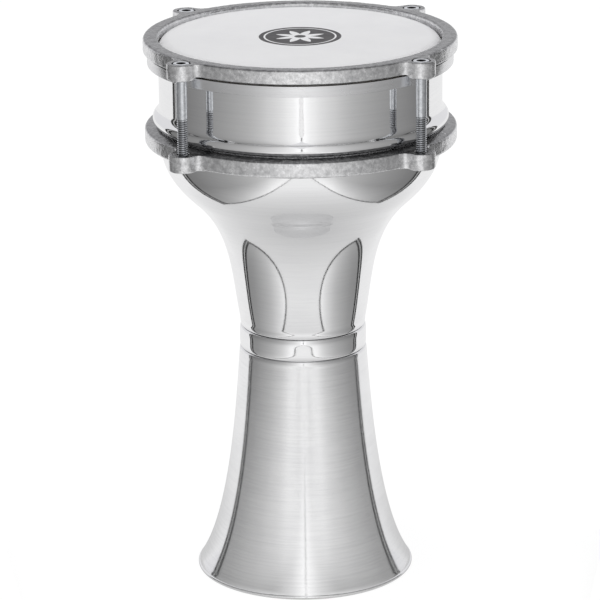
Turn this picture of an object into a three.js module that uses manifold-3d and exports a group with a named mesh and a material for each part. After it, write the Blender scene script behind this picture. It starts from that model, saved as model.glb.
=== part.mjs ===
// Goblet drum: a spun aluminium shell and foot joined at a neck collar, a film head in a channelled
// hoop, and two cast rings drawn together by four socket-head bolts.
// Millimetres, +Z up. The origin is the middle of the circle that the foot stands on.
import * as THREE from "three";
import { mergeVertices } from "three/addons/utils/BufferGeometryUtils.js";
import Module from "manifold-3d";

const wasm = await Module();
wasm.setup();

const clearance = 0.3; // left between pieces that touch on the real drum
const roundSteps = 40; // flats round a shell, ring or head
const boltSteps = 24; // flats round a bolt, its holes and its lugs
const overcut = 1; // how far a cutting body runs past the face it opens

// Spun shell and foot
const wall = 2;
const footHeight = 141.6;
const footRimRadius = 65.5;
const footNeckRadius = 38.8;
const footWaistPull = new THREE.Vector2(1.9, 22.3); // from the foot's neck to its upper curve handle
const footFlarePull = new THREE.Vector2(20.8, 33.3); // from the rim to its lower curve handle
const footLipHeight = 2.4;
const footLipProud = 0.6; // how far the rolled lip stands out of the bell
const shoulderHeight = 4; // rounding where each shell meets the collar
const shoulderInset = 1;

const gobletHeight = 176.7;
const gobletNeckRadius = 38;
const barrelRadius = 84.4;
const throatHeight = 79.5; // from the goblet's lower edge to where the flare is steepest
const throatRadius = 65.1;
const throatSlope = 1.1; // radius gained per height there
const neckSlope = 0.176; // the same, at the goblet's lower edge
const neckPull = 29.3; // lengths of the throat's curve handles, from the bottom up
const throatPullDown = 30.5;
const throatPullUp = 16.7;
const bowlPull = 17.9;
const bowlHeight = 118.6; // where the bowl has come up to the barrel's radius
const beadHeight = 130; // middle of the rolled bead
const beadRadius = 3.9;
const beadCove = 6; // hollow curve from the bead up into the barrel
const bearingHeight = 12; // the barrel's top leans in over this height
const bearingInset = 2.8;
const bearingRound = 3;

// Neck collar
const collarHeight = 13.2;
const collarRadius = 38.4;
const collarWall = 3;
const spigotLength = 9;

// Head: film, flesh hoop and the resin that holds the film in it
const filmThickness = 0.4;
const filmCorner = 2.2; // from the barrel's radius in to where the film turns down
const filmRound = 4.5;
const hoopWidth = 5.65; // of the flesh hoop, inside to outside
const hoopHeight = 6.4;
const hoopBelowEdge = 13.8; // from the bearing edge down to the flesh hoop's underside
const hoopGap = 0.95; // between the barrel and the flesh hoop
const hoopWall = 1.1;
const hoopInnerHeight = 3.6;

// Cast rings, each with four lugs
const ringBarrelGap = 0.8; // between the barrel and the lower ring
const lowerRingWidth = 8;
const lowerRingHeight = 9.7;
const lowerRingRise = 0.9; // the lower ring's top climbs this much towards the bead
const counterOverhang = 2.4; // the counter hoop stands out this far past the flesh hoop
const counterInset = 0.2; // its inner wall lies this far inside the barrel's radius
const counterHeight = 8.1;
const counterInnerWall = 4.8;
const pressLip = 1.2; // the lip that bears on the flesh hoop
const pressLipWidth = 3;
const castRound = 1.9;
const castEdge = 0.4;

const lugNames = ["back_right", "back_left", "front_left", "front_right"];
const lugWall = 2.89; // round the counterbore
const lugFillet = 5;
const lugSink = 0.2; // the lug's top lies this much below the ring's
const upperLugDrop = 1.9; // the lug hangs this much below the ring
const lowerLugDrop = 0.7;
const lugRound = 1.2;

// Tension bolts
const boltRadius = 3.175;
const boltStandoff = 3.225; // between the bolt and the flesh hoop
const boltTipShort = 0.5; // the tip stops this far above the lower lug's underside
const boltHeadRadius = 4.76;
const boltHeadHeight = 6.35;
const boltSinkDepth = 0.35; // the head's top lies this much below the ring's top
const boltHoleGap = 0.35;
const counterboreGap = 0.85;
const socketFlats = 4.76;
const socketDepth = 3.2;
const boltEdge = 0.5;

// Radii that follow from the sizes above
const fleshInner = barrelRadius + hoopGap;
const hoopRadius = fleshInner + hoopWidth;
const counterInnerRadius = barrelRadius - counterInset;
const counterRadius = hoopRadius + counterOverhang;
const lowerRingInner = barrelRadius + ringBarrelGap;
const lowerRingRadius = lowerRingInner + lowerRingWidth;
const lugCircle = hoopRadius + boltStandoff + boltRadius;
const counterbore = boltHeadRadius + counterboreGap;
const lugRadius = counterbore + lugWall;
const boltHole = boltRadius + boltHoleGap;

// Heights that follow from the sizes above
const collarBase = footHeight + clearance;
const gobletBase = collarBase + collarHeight + clearance;
const bearingTop = gobletBase + gobletHeight;
const beadMiddle = gobletBase + beadHeight;
const beadUnderside = beadMiddle - beadRadius;
const filmMiddle = bearingTop + clearance + filmThickness / 2;
const fleshBase = bearingTop - hoopBelowEdge;
const fleshTop = fleshBase + hoopHeight;
const lipBase = fleshTop + clearance;
const counterBase = lipBase + pressLip;
const counterTop = counterBase + counterHeight;
const lowerRingTop = beadUnderside - clearance - lowerRingRise;
const lowerRingBase = lowerRingTop - lowerRingHeight;
const boltTop = counterTop - boltSinkDepth;
const boltNeck = boltTop - boltHeadHeight;
const boltTip = lowerRingBase - lowerLugDrop + boltTipShort;

const point = (radius, height) => new THREE.Vector2(radius, height);

// A closed outline turned round the drum's axis.
function turn(outline, steps = roundSteps) {
  const geometry = new THREE.LatheGeometry([...outline, outline[0]], steps);
  return geometry.rotateX(Math.PI / 2);
}

// The points of a line: two for a straight stretch, more for a curve or an arc.
function pointsOf(line, curveSteps, arcSteps = curveSteps) {
  const points = line.curves.flatMap((piece) => {
    if (piece.isLineCurve) return piece.getPoints(1);
    return piece.getPoints(piece.isEllipseCurve ? arcSteps : curveSteps);
  });
  return points.filter((at, i) => i === 0 || at.distanceTo(points[i - 1]) > 1e-3);
}

// The points of a line, each moved square to it: towards its left for a positive distance.
function moved(line, distance) {
  return line.map((at, i) => {
    const before = line[Math.max(i - 1, 0)];
    const after = line[Math.min(i + 1, line.length - 1)];
    const along = after.clone().sub(before).normalize();
    return point(at.x - along.y * distance, at.y + along.x * distance);
  });
}

function toSolid(geometry) {
  const bare = geometry.clone();
  bare.deleteAttribute("normal");
  bare.deleteAttribute("uv");
  const merged = mergeVertices(bare, 1e-4);
  return new wasm.Manifold(new wasm.Mesh({
    numProp: 3,
    vertProperties: merged.attributes.position.array,
    triVerts: new Uint32Array(merged.index.array),
  }));
}

function toGeometry(solid) {
  const mesh = solid.getMesh();
  const geometry = new THREE.BufferGeometry();
  geometry.setAttribute("position", new THREE.BufferAttribute(mesh.vertProperties, 3));
  geometry.setIndex(new THREE.BufferAttribute(mesh.triVerts, 1));
  return geometry;
}

// An upright round rod between two heights, its middle at (x, y).
function rod(radius, bottom, top, x = 0, y = 0, steps = boltSteps) {
  const geometry = new THREE.CylinderGeometry(radius, radius, top - bottom, steps);
  return geometry.rotateX(Math.PI / 2).translate(x, y, (bottom + top) / 2);
}

// Where each lug and its bolt stand.
function lugPlaces() {
  return lugNames.map((name, i) => {
    const angle = ((i + 0.5) * 2 * Math.PI) / lugNames.length;
    return { name, angle, x: lugCircle * Math.cos(angle), y: lugCircle * Math.sin(angle) };
  });
}

// The foot's outer line from its rolled lip up to the collar.
function footLine() {
  const line = new THREE.Path();
  const shoulder = footHeight - shoulderHeight;
  line.moveTo(footRimRadius, footLipHeight);
  line.bezierCurveTo(
    footRimRadius - footFlarePull.x, footFlarePull.y,
    footNeckRadius + footWaistPull.x, shoulder - footWaistPull.y,
    footNeckRadius, shoulder,
  );
  return pointsOf(line, 11);
}

function footBell() {
  const outer = footLine();
  const inner = moved(outer, wall).reverse();
  const lip = new THREE.Path();
  lip.moveTo(footRimRadius - wall, 0);
  lip.lineTo(footRimRadius, 0);
  lip.quadraticCurveTo(footRimRadius + footLipProud, 0, footRimRadius + footLipProud, footLipHeight / 2);
  lip.quadraticCurveTo(footRimRadius + footLipProud, footLipHeight, footRimRadius, footLipHeight);
  const shoulder = new THREE.QuadraticBezierCurve(
    outer.at(-1), point(footNeckRadius, footHeight), point(footNeckRadius - shoulderInset, footHeight));
  const innerTop = point(footNeckRadius - wall, footHeight);
  const lipPoints = pointsOf(lip, 2).slice(0, -1);
  return turn([...lipPoints, ...outer, ...shoulder.getPoints(3).slice(1), innerTop, ...inner]);
}

// The goblet's outer line above its lower shoulder: throat, bowl, bead, barrel and bearing edge.
function gobletLine() {
  const start = gobletBase + shoulderHeight;
  const throat = point(throatRadius, gobletBase + throatHeight);
  const steep = point(throatSlope, 1).normalize();
  const down = throat.clone().addScaledVector(steep, -throatPullDown);
  const up = throat.clone().addScaledVector(steep, throatPullUp);
  const bowlTop = gobletBase + bowlHeight;
  const coveReach = Math.sqrt((beadRadius + beadCove) ** 2 - beadCove ** 2);
  const coveAngle = Math.atan2(coveReach, beadCove);
  const inset = barrelRadius - bearingInset;

  const line = new THREE.Path();
  line.moveTo(gobletNeckRadius, start);
  line.bezierCurveTo(gobletNeckRadius + neckSlope * neckPull, start + neckPull, down.x, down.y, throat.x, throat.y);
  line.bezierCurveTo(up.x, up.y, barrelRadius, bowlTop - bowlPull, barrelRadius, bowlTop);
  line.lineTo(barrelRadius, beadUnderside);
  line.absarc(barrelRadius, beadMiddle, beadRadius, -Math.PI / 2, coveAngle, false);
  line.absarc(barrelRadius + beadCove, beadMiddle + coveReach, beadCove, Math.PI + coveAngle, Math.PI, true);
  line.lineTo(barrelRadius, bearingTop - bearingHeight);
  line.lineTo(inset + bearingRound * 0.25, bearingTop - bearingRound);
  line.quadraticCurveTo(inset, bearingTop, inset - bearingRound, bearingTop);
  return pointsOf(line, 7, 5);
}

function gobletShell() {
  const outer = gobletLine();
  const inner = moved(outer, wall).reverse();
  const shoulder = new THREE.QuadraticBezierCurve(
    point(gobletNeckRadius - shoulderInset, gobletBase), point(gobletNeckRadius, gobletBase), outer[0]);
  const innerBottom = point(gobletNeckRadius - wall, gobletBase);
  return turn([innerBottom, ...shoulder.getPoints(3).slice(0, -1), ...outer, ...inner]);
}

// The band shows between the two shells, and a spigot reaches into each of them.
function neckCollar() {
  const top = collarBase + collarHeight;
  const lowSpigot = footNeckRadius - wall - clearance;
  const highSpigot = gobletNeckRadius - wall - clearance;
  const band = new THREE.Path();
  band.moveTo(lowSpigot, collarBase);
  band.lineTo(collarRadius - shoulderInset, collarBase);
  band.quadraticCurveTo(collarRadius, collarBase, collarRadius, collarBase + shoulderHeight);
  band.lineTo(collarRadius, top - shoulderHeight);
  band.quadraticCurveTo(collarRadius, top, collarRadius - shoulderInset, top);
  band.lineTo(highSpigot, top);
  band.lineTo(highSpigot, top + spigotLength);
  band.lineTo(highSpigot - collarWall, top + spigotLength);
  band.lineTo(highSpigot - collarWall, collarBase - spigotLength);
  band.lineTo(lowSpigot, collarBase - spigotLength);
  return turn(pointsOf(band, 3));
}

// Flat over the bearing edge, down its outside, and over the flesh hoop's inner wall into the channel.
function headFilm() {
  const corner = point(barrelRadius - filmCorner, filmMiddle);
  const skirt = fleshInner + hoopWall + clearance + filmThickness;
  const wallTop = fleshBase + hoopInnerHeight;
  const over = point(skirt - hoopWall, wallTop + 3 * clearance + filmThickness);
  const along = over.clone().sub(corner).normalize();
  const turned = corner.clone().addScaledVector(along, filmRound);
  const middle = new THREE.Path();
  middle.moveTo(0, filmMiddle);
  middle.lineTo(corner.x - filmRound, filmMiddle);
  middle.quadraticCurveTo(corner.x, corner.y, turned.x, turned.y);
  middle.lineTo(over.x, over.y);
  middle.quadraticCurveTo(skirt, over.y - 3 * clearance, skirt, wallTop - clearance);
  middle.lineTo(skirt, fleshBase + hoopWall + 2 * clearance);
  const line = pointsOf(middle, 4);
  const above = moved(line, filmThickness / 2);
  const below = moved(line, -filmThickness / 2);
  const outline = [...below, ...above.reverse()];
  return new THREE.LatheGeometry(outline, roundSteps).rotateX(Math.PI / 2);
}

// A channel, open upwards, with a low inner wall and a high outer one.
function fleshHoop() {
  return turn([
    point(fleshInner, fleshBase),
    point(hoopRadius, fleshBase),
    point(hoopRadius, fleshTop),
    point(hoopRadius - hoopWall, fleshTop),
    point(hoopRadius - hoopWall, fleshBase + hoopWall),
    point(fleshInner + hoopWall, fleshBase + hoopWall),
    point(fleshInner + hoopWall, fleshBase + hoopInnerHeight),
    point(fleshInner, fleshBase + hoopInnerHeight),
  ]);
}

function hoopResin() {
  const inner = fleshInner + hoopWall + 2 * clearance + 1.5 * filmThickness;
  const outer = hoopRadius - hoopWall - clearance;
  const bottom = fleshBase + hoopWall + clearance;
  const top = fleshTop - 2 * clearance;
  return turn([point(inner, bottom), point(outer, bottom), point(outer, top), point(inner, top)]);
}

// The outline, seen from above, of a lug that runs into a ring through two hollow fillets.
function lugOutline(ringRadius) {
  const toFillet = ringRadius + lugFillet;
  const lugToFillet = lugRadius + lugFillet;
  const swing = Math.acos(
    (toFillet ** 2 + lugCircle ** 2 - lugToFillet ** 2) / (2 * toFillet * lugCircle));
  const fillet = point(toFillet * Math.cos(swing), toFillet * Math.sin(swing));
  const lean = Math.atan2(fillet.y, fillet.x - lugCircle);
  const root = ringRadius - lugRadius / 2;
  const shape = new THREE.Shape();
  shape.moveTo(root * Math.cos(swing), -root * Math.sin(swing));
  shape.absarc(fillet.x, -fillet.y, lugFillet, Math.PI - swing, -lean + Math.PI, true);
  shape.lineTo(lugCircle, 0);
  shape.absarc(fillet.x, fillet.y, lugFillet, lean - Math.PI, swing - Math.PI, true);
  shape.lineTo(root * Math.cos(swing), root * Math.sin(swing));
  return shape;
}

// A lug as it stands on the ring: its web between two heights, and a boss that hangs lower.
function lug(ringRadius, place, top, webBase, drop) {
  const web = new THREE.ExtrudeGeometry(lugOutline(ringRadius), {
    depth: top - webBase, bevelEnabled: false, curveSegments: 3,
  });
  web.translate(0, 0, webBase).rotateZ(place.angle);
  const low = webBase - drop;
  const boss = new THREE.LatheGeometry([
    point(0, low), point(lugRadius - lugRound, low), point(lugRadius, low + lugRound),
    point(lugRadius, top - castEdge), point(0, top - castEdge),
  ], boltSteps);
  boss.rotateX(Math.PI / 2).translate(place.x, place.y, 0);
  return toSolid(web).add(toSolid(boss));
}

function lowerRing() {
  const outline = new THREE.Path();
  outline.moveTo(lowerRingInner, lowerRingBase);
  outline.lineTo(lowerRingRadius - castRound, lowerRingBase);
  outline.quadraticCurveTo(lowerRingRadius, lowerRingBase, lowerRingRadius, lowerRingBase + castRound);
  outline.lineTo(lowerRingRadius, lowerRingTop - castRound);
  outline.quadraticCurveTo(lowerRingRadius, lowerRingTop, lowerRingRadius - castRound, lowerRingTop);
  outline.lineTo(lowerRingInner + castRound, lowerRingTop + lowerRingRise);
  outline.lineTo(lowerRingInner, lowerRingTop + lowerRingRise);
  let ring = toSolid(turn(pointsOf(outline, 3)));
  const low = lowerRingBase - lowerLugDrop - overcut;
  const high = lowerRingTop + overcut;
  for (const place of lugPlaces()) {
    ring = ring.add(lug(lowerRingRadius, place, lowerRingTop - lugSink, lowerRingBase, lowerLugDrop));
    ring = ring.subtract(toSolid(rod(boltHole, low, high, place.x, place.y)));
  }
  return toGeometry(ring);
}

function counterHoop() {
  const lipOuter = hoopRadius - hoopWall / 2;
  const lipInner = lipOuter - pressLipWidth;
  const outline = new THREE.Path();
  outline.moveTo(lipInner, lipBase);
  outline.lineTo(lipOuter, lipBase);
  outline.lineTo(lipOuter, counterBase);
  outline.lineTo(counterRadius - castEdge, counterBase);
  outline.quadraticCurveTo(counterRadius, counterBase, counterRadius, counterBase + castEdge);
  outline.lineTo(counterRadius, counterTop - castRound);
  outline.quadraticCurveTo(counterRadius, counterTop, counterRadius - castRound, counterTop);
  outline.lineTo(counterInnerRadius + castEdge, counterTop);
  outline.lineTo(counterInnerRadius, counterTop - castEdge);
  outline.lineTo(counterInnerRadius, counterTop - counterInnerWall);
  let hoop = toSolid(turn(pointsOf(outline, 3)));
  const low = counterBase - upperLugDrop - overcut;
  const high = counterTop + overcut;
  const fleshRoom = toSolid(rod(hoopRadius + clearance, low, counterBase, 0, 0, roundSteps));
  for (const place of lugPlaces()) {
    const ear = lug(counterRadius, place, counterTop - lugSink, counterBase, upperLugDrop);
    hoop = hoop.add(ear.subtract(fleshRoom));
    hoop = hoop.subtract(toSolid(rod(boltHole, low, high, place.x, place.y)));
    hoop = hoop.subtract(toSolid(rod(counterbore, boltNeck - clearance, high, place.x, place.y)));
  }
  return toGeometry(hoop);
}

// Head, shank and a hexagon socket, upright in its lug.
function tensionBolt(place) {
  const body = new THREE.LatheGeometry([
    point(0, boltTip), point(boltRadius - boltEdge, boltTip), point(boltRadius, boltTip + boltEdge),
    point(boltRadius, boltNeck), point(boltHeadRadius, boltNeck),
    point(boltHeadRadius, boltTop - boltEdge), point(boltHeadRadius - boltEdge, boltTop), point(0, boltTop),
  ], boltSteps);
  body.rotateX(Math.PI / 2).translate(place.x, place.y, 0);
  const socketRadius = socketFlats / Math.sqrt(3);
  const socket = rod(socketRadius, boltTop - socketDepth, boltTop + overcut, place.x, place.y, 6);
  return toGeometry(toSolid(body).subtract(toSolid(socket)));
}

function material(color, roughness, metalness) {
  return new THREE.MeshStandardMaterial({ color, roughness, metalness });
}

const polished = material(0xe4e4e6, 0.16, 1);
const satin = material(0xc9c9cb, 0.32, 1);
const cast = material(0xa6a6a8, 0.45, 1);
const plated = material(0xb9bec6, 0.22, 1);
const white = material(0xe6e6e7, 0.5, 0);
const amber = material(0xb79a62, 0.4, 0);

const drum = new THREE.Group();

function addPiece(name, geometry, finish) {
  geometry.computeVertexNormals();
  const mesh = new THREE.Mesh(geometry, finish.clone());
  mesh.name = name;
  drum.add(mesh);
}

addPiece("foot_bell", footBell(), polished);
addPiece("neck_collar", neckCollar(), polished);
addPiece("goblet_shell", gobletShell(), polished);
addPiece("lower_ring", lowerRing(), cast);
addPiece("flesh_hoop", fleshHoop(), satin);
addPiece("hoop_resin", hoopResin(), amber);
addPiece("head_film", headFilm(), white);
addPiece("counter_hoop", counterHoop(), cast);
for (const place of lugPlaces()) {
  addPiece(`tension_bolt_${place.name}`, tensionBolt(place), plated);
}

export default drum;
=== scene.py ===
import math

import bmesh
import bpy
from mathutils import Matrix, Vector, noise


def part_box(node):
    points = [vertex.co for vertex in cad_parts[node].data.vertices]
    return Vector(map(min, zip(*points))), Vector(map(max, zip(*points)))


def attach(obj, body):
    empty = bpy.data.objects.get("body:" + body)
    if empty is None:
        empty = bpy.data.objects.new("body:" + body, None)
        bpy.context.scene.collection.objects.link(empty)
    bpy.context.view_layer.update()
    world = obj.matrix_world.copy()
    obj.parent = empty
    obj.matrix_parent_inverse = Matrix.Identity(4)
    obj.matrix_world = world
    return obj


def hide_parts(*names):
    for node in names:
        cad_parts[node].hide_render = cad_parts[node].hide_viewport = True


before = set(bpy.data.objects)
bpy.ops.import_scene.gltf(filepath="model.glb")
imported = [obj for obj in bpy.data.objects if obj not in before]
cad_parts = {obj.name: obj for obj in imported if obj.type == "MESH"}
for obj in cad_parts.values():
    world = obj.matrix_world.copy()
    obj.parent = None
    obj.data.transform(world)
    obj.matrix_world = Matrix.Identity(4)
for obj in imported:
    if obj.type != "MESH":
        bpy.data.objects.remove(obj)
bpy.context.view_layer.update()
print("frame loaded")

mm = 0.001
tau = 2 * math.pi


def bezier(a, b, c, d, steps):
    points = []
    for i in range(steps + 1):
        t = i / steps
        u = 1 - t
        weights = (u ** 3, 3 * u * u * t, 3 * u * t * t, t ** 3)
        points.append(tuple(sum(w * p[k] for w, p in zip(weights, (a, b, c, d))) for k in (0, 1)))
    return points


def arc(centre, radius, start, end, steps):
    points = []
    for i in range(steps + 1):
        angle = math.radians(start + (end - start) * i / steps)
        points.append((centre[0] + radius * math.cos(angle), centre[1] + radius * math.sin(angle)))
    return points


def straight(a, b, steps):
    return [(a[0] + (b[0] - a[0]) * i / steps, a[1] + (b[1] - a[1]) * i / steps) for i in range(steps + 1)]


# Runs of points one after another, without the doubled points where they meet.
def joined(*runs):
    points = []
    for run in runs:
        for p in run:
            if not points or math.dist(p, points[-1]) > 0.005 * mm:
                points.append(p)
    return points


# The same line, moved square to itself: to its left for a positive distance.
def moved(line, distance):
    result = []
    for i, p in enumerate(line):
        before = line[max(i - 1, 0)]
        after = line[min(i + 1, len(line) - 1)]
        length = math.dist(before, after)
        along = ((after[0] - before[0]) / length, (after[1] - before[1]) / length)
        result.append((p[0] - along[1] * distance, p[1] + along[0] * distance))
    return result


# A closed outline of (radius, height) turned round an upright axis at (x, y).
def turnedMesh(outline, steps, x=0.0, y=0.0, zones=None):
    bm = bmesh.new()
    rings = []
    for s in range(steps):
        angle = tau * s / steps
        c, sn = math.cos(angle), math.sin(angle)
        rings.append([bm.verts.new((x + r * c, y + r * sn, z)) for r, z in outline])
    count = len(outline)
    for s in range(steps):
        here, there = rings[s], rings[(s + 1) % steps]
        for i in range(count):
            j = (i + 1) % count
            if outline[i][0] < 1e-7 and outline[j][0] < 1e-7:
                continue
            face = bm.faces.new((here[i], there[i], there[j], here[j]))
            if zones:
                face.material_index = zones[i]
    bmesh.ops.remove_doubles(bm, verts=bm.verts, dist=1e-7)
    bmesh.ops.recalc_face_normals(bm, faces=bm.faces)
    return bm


def toObject(bm, name, materials, sharp=38):
    mesh = bpy.data.meshes.new(name)
    bm.to_mesh(mesh)
    bm.free()
    for material in materials:
        mesh.materials.append(material)
    obj = bpy.data.objects.new(name, mesh)
    bpy.context.scene.collection.objects.link(obj)
    mesh.shade_smooth()
    mesh.set_sharp_from_angle(angle=math.radians(sharp))
    return obj


# Puts a finished piece on its body in place of its plain CAD node.
def standFor(obj, node, body):
    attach(obj, body)
    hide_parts(node)


def addInto(target, source):
    mesh = bpy.data.meshes.new("part")
    source.to_mesh(mesh)
    source.free()
    target.from_mesh(mesh)
    bpy.data.meshes.remove(mesh)


def useModifier(obj, kind, **values):
    modifier = obj.modifiers.new(kind, kind)
    for key, value in values.items():
        setattr(modifier, key, value)
    bpy.context.view_layer.objects.active = obj
    obj.select_set(True)
    bpy.ops.object.modifier_apply(modifier=modifier.name)
    obj.select_set(False)


# A shared effect with plain number inputs and outputs.
def makeGroup(name, inputs, outputs):
    tree = bpy.data.node_groups.new(name, "ShaderNodeTree")
    for label, default in inputs.items():
        socket = tree.interface.new_socket(label, in_out="INPUT", socket_type="NodeSocketFloat")
        socket.default_value = default
    for label in outputs:
        tree.interface.new_socket(label, in_out="OUTPUT", socket_type="NodeSocketFloat")
    return tree, tree.nodes.new("NodeGroupInput").outputs, tree.nodes.new("NodeGroupOutput").inputs


def put(tree, socket, value):
    if isinstance(value, bpy.types.NodeSocket):
        tree.links.new(value, socket)
    elif value is not None:
        socket.default_value = value


# The span that most of a noise's values lie in.
noiseSpan = (0.3, 0.7)


def calc(tree, operation, a, b=None, c=None, clamp=False):
    node = tree.nodes.new("ShaderNodeMath")
    node.operation = operation
    node.use_clamp = clamp
    for socket, value in zip(node.inputs, (a, b, c)):
        put(tree, socket, value)
    return node.outputs[0]


def ramp(tree, value, low, high, start=0.0, end=1.0, smooth=False):
    node = tree.nodes.new("ShaderNodeMapRange")
    node.interpolation_type = "SMOOTHSTEP" if smooth else "LINEAR"
    for socket, item in zip(node.inputs, (value, low, high, start, end)):
        put(tree, socket, item)
    return node.outputs[0]


def mixColours(tree, amount, a, b):
    node = tree.nodes.new("ShaderNodeMix")
    node.data_type = "RGBA"
    put(tree, node.inputs[0], amount)
    put(tree, node.inputs[6], a)
    put(tree, node.inputs[7], b)
    return node.outputs[2]


def noiseValue(tree, vector, scale, detail=3.0, rough=0.55):
    node = tree.nodes.new("ShaderNodeTexNoise")
    put(tree, node.inputs["Vector"], vector)
    put(tree, node.inputs["Scale"], scale)
    node.inputs["Detail"].default_value = detail
    node.inputs["Roughness"].default_value = rough
    return node.outputs[0]


def combine(tree, x, y, z):
    node = tree.nodes.new("ShaderNodeCombineXYZ")
    for socket, value in zip(node.inputs, (x, y, z)):
        put(tree, socket, value)
    return node.outputs[0]


# Object coordinates as x, y, z, the distance from the axis, and the whole vector.
def places(tree):
    spot = tree.nodes.new("ShaderNodeTexCoord").outputs["Object"]
    parts = tree.nodes.new("ShaderNodeSeparateXYZ")
    tree.links.new(spot, parts.inputs[0])
    x, y, z = parts.outputs
    squares = calc(tree, "ADD", calc(tree, "MULTIPLY", x, x), calc(tree, "MULTIPLY", y, y))
    return x, y, z, calc(tree, "SQRT", squares), spot


def buildSpunLines():
    tree, given, out = makeGroup(
        "spun lines",
        {"Line scale": 900.0, "Band scale": 60.0, "Scratch scale": 420.0, "Round scale": 1.2},
        ["Lines", "Bands", "Scratches", "Smudges"])
    x, y, z, r, spot = places(tree)
    safe = calc(tree, "MAXIMUM", r, 0.001)
    along = calc(tree, "ADD", z, calc(tree, "MULTIPLY", r, 0.8))
    sideX = calc(tree, "MULTIPLY", calc(tree, "DIVIDE", x, safe), given["Round scale"])
    sideY = calc(tree, "MULTIPLY", calc(tree, "DIVIDE", y, safe), given["Round scale"])
    fine = combine(tree, sideX, sideY, calc(tree, "MULTIPLY", along, given["Line scale"]))
    put(tree, out["Lines"], noiseValue(tree, fine, 1.0, 4.0, 0.65))
    broad = combine(tree, sideX, sideY, calc(tree, "MULTIPLY", along, given["Band scale"]))
    put(tree, out["Bands"], noiseValue(tree, broad, 1.0, 3.0, 0.6))
    # handling scratches, thin and leaning a little off the spun lines
    lean = calc(tree, "ADD", along, calc(tree, "MULTIPLY", calc(tree, "ADD", x, y), 0.35))
    thin = combine(tree, calc(tree, "MULTIPLY", sideX, 3.0), calc(tree, "MULTIPLY", sideY, 3.0),
                   calc(tree, "MULTIPLY", lean, given["Scratch scale"]))
    put(tree, out["Scratches"], ramp(tree, noiseValue(tree, thin, 1.0, 5.0, 0.7), 0.66, 0.74))
    put(tree, out["Smudges"], noiseValue(tree, spot, 22.0, 4.0, 0.55))
    return tree


def buildCastMottle():
    tree, given, out = makeGroup(
        "cast mottle", {"Patch scale": 260.0, "Grain scale": 1500.0}, ["Patches", "Grain", "Pits", "Height"])
    spot = places(tree)[4]
    patches = noiseValue(tree, spot, given["Patch scale"], 5.0, 0.62)
    grain = noiseValue(tree, spot, given["Grain scale"], 3.0, 0.6)
    cells = tree.nodes.new("ShaderNodeTexVoronoi")
    put(tree, cells.inputs["Vector"], spot)
    put(tree, cells.inputs["Scale"], calc(tree, "MULTIPLY", given["Patch scale"], 2.2))
    pits = ramp(tree, cells.outputs["Distance"], 0.10, 0.24, 1.0, 0.0)
    chosen = ramp(tree, noiseValue(tree, spot, given["Patch scale"], 2.0), 0.52, 0.62)
    pits = calc(tree, "MULTIPLY", pits, chosen)
    put(tree, out["Patches"], ramp(tree, patches, 0.33, 0.67))
    put(tree, out["Grain"], grain)
    put(tree, out["Pits"], pits)
    low = calc(tree, "MULTIPLY_ADD", patches, 0.6, calc(tree, "MULTIPLY", grain, 0.25))
    put(tree, out["Height"], calc(tree, "MULTIPLY_ADD", pits, -0.35, low))
    return tree


# Rubbed corners are found by how sharply the surface turns.
def buildEdgeWear():
    tree, given, out = makeGroup("edge wear", {"Start": 0.52, "Full": 0.60, "Break-up": 0.5}, ["Worn"])
    spot = places(tree)[4]
    bent = tree.nodes.new("ShaderNodeNewGeometry").outputs["Pointiness"]
    worn = ramp(tree, bent, given["Start"], given["Full"])
    broken = ramp(tree, noiseValue(tree, spot, 420.0, 3.0), 0.35, 0.6)
    lost = calc(tree, "MULTIPLY", given["Break-up"], calc(tree, "SUBTRACT", 1.0, broken))
    kept = calc(tree, "SUBTRACT", 1.0, lost)
    put(tree, out["Worn"], calc(tree, "MULTIPLY", worn, kept, clamp=True))
    return tree


# How squarely a surface faces up, used by the cast skin to lay a painted dark reflection on upward faces, and a
# thin settled dust on it.
def buildUpwardSkin():
    tree, given, out = makeGroup(
        "upward skin", {"Start": 0.86, "Full": 0.97, "Dust scale": 300.0}, ["Top", "Dust"])
    spot = places(tree)[4]
    parts = tree.nodes.new("ShaderNodeSeparateXYZ")
    tree.links.new(tree.nodes.new("ShaderNodeNewGeometry").outputs["Normal"], parts.inputs[0])
    top = ramp(tree, parts.outputs[2], given["Start"], given["Full"], smooth=True)
    put(tree, out["Top"], top)
    specks = ramp(tree, noiseValue(tree, spot, given["Dust scale"], 6.0, 0.7), 0.5, 0.8)
    put(tree, out["Dust"], calc(tree, "MULTIPLY", specks, top))
    return tree


spunLines = buildSpunLines()
castMottle = buildCastMottle()
edgeWear = buildEdgeWear()
upwardSkin = buildUpwardSkin()


def newMaterial(name, **plain):
    material = bpy.data.materials.new(name)
    material.use_nodes = True
    tree = material.node_tree
    shader = tree.nodes["Principled BSDF"]
    for label, value in plain.items():
        shader.inputs[label.replace("_", " ")].default_value = value
    return material, tree, shader


def place(tree, group, values=None):
    node = tree.nodes.new("ShaderNodeGroup")
    node.node_tree = group
    for label, value in (values or {}).items():
        node.inputs[label].default_value = value
    return node.outputs


def bump(tree, shader, height, distance, strength=1.0):
    node = tree.nodes.new("ShaderNodeBump")
    node.inputs["Strength"].default_value = strength
    node.inputs["Distance"].default_value = distance
    put(tree, node.inputs["Height"], height)
    tree.links.new(node.outputs[0], shader.inputs["Normal"])


spunLook = {
    "bright": (0.94, 0.94, 0.945, 1), "footDull": (0.84, 0.84, 0.85, 1), "bowlDull": (0.89, 0.89, 0.90, 1),
    "footRoughness": (0.13, 0.21), "bowlRoughness": (0.045, 0.10),
    "footAnisotropy": 0.85, "bowlAnisotropy": 0.6, "footLines": 1500.0, "bowlLines": 900.0,
    "lineDepth": 0.004 * mm, "fineSpan": (0.34, 0.58), "bandSpan": (0.3, 0.6), "bandShare": 0.45,
    "scuffSpan": (0.3, 0.8), "scratchRough": 0.25, "scratchDepth": -0.6,
}


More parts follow.
